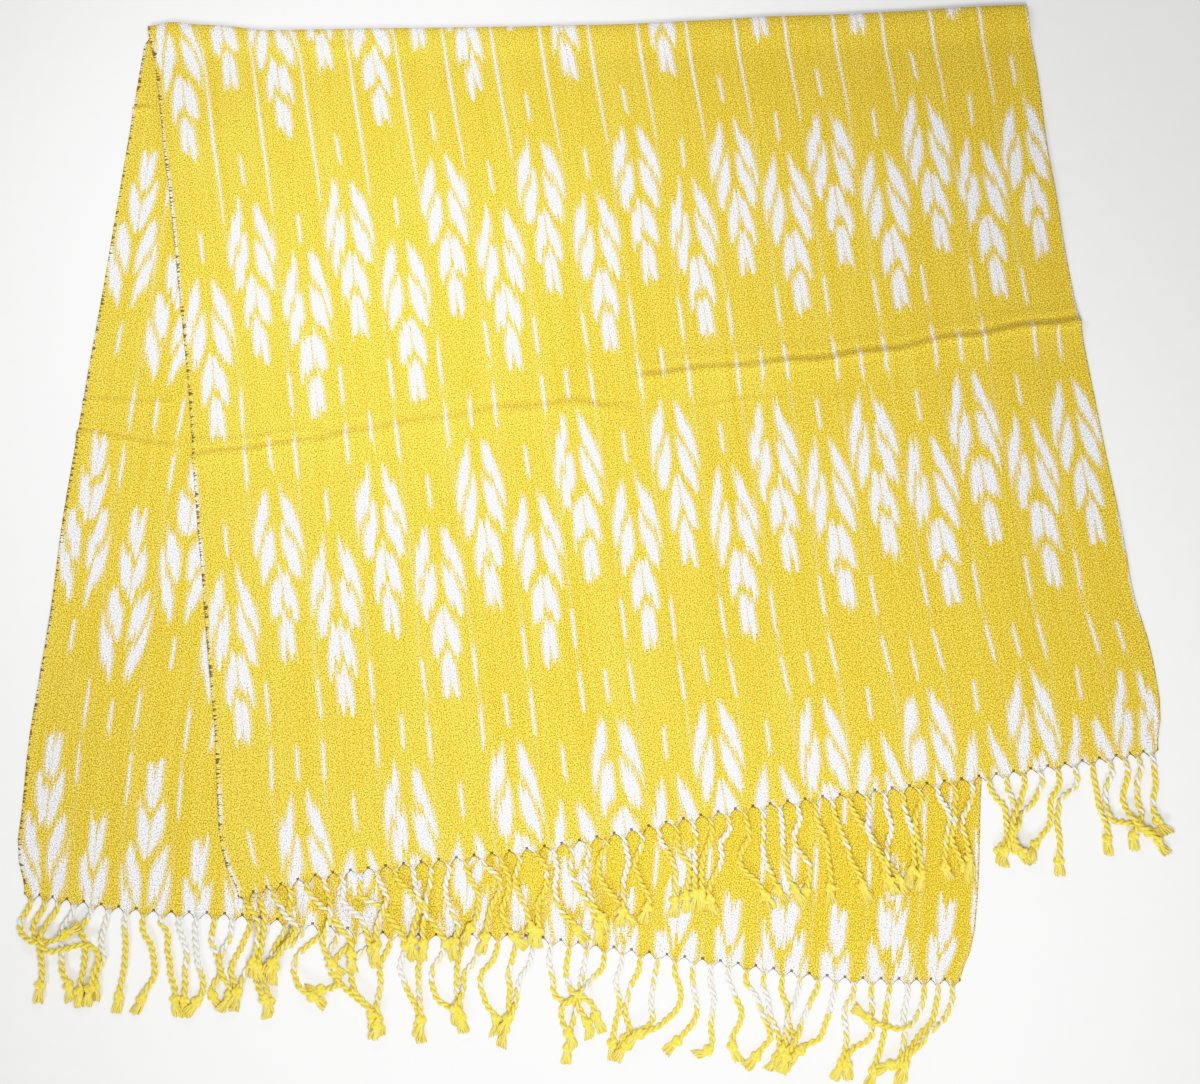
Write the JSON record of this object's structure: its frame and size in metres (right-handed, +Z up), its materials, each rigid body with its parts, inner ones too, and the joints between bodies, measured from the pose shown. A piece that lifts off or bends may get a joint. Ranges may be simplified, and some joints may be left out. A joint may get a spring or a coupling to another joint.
{
  "type": "wrap scarf",
  "caption": "Fringed handwoven cotton wrap scarf with a warp ikat pattern, folded once across its length and laid flat with its layers fanned apart.",
  "frame": {"origin": "on the surface that the scarf lies on, under the middle of its box", "axes": "+Z up, +X along the fold to the right, +Y from the hems to the fold"},
  "size_m": [0.9192, 0.8942, 0.0079],
  "materials": {
    "cloth": "handwoven cotton, bright yellow with a white warp ikat pattern, matt with a faint sheen",
    "fringe": "two-ply twisted cotton cord, yellow and white, knotted and brushed out at the end"
  },
  "bodies": {
    "root": {"under_layer": "cloth", "over_layer": "cloth", "fringe_under": "fringe", "fringe_over": "fringe"}
  },
  "joints": []
}
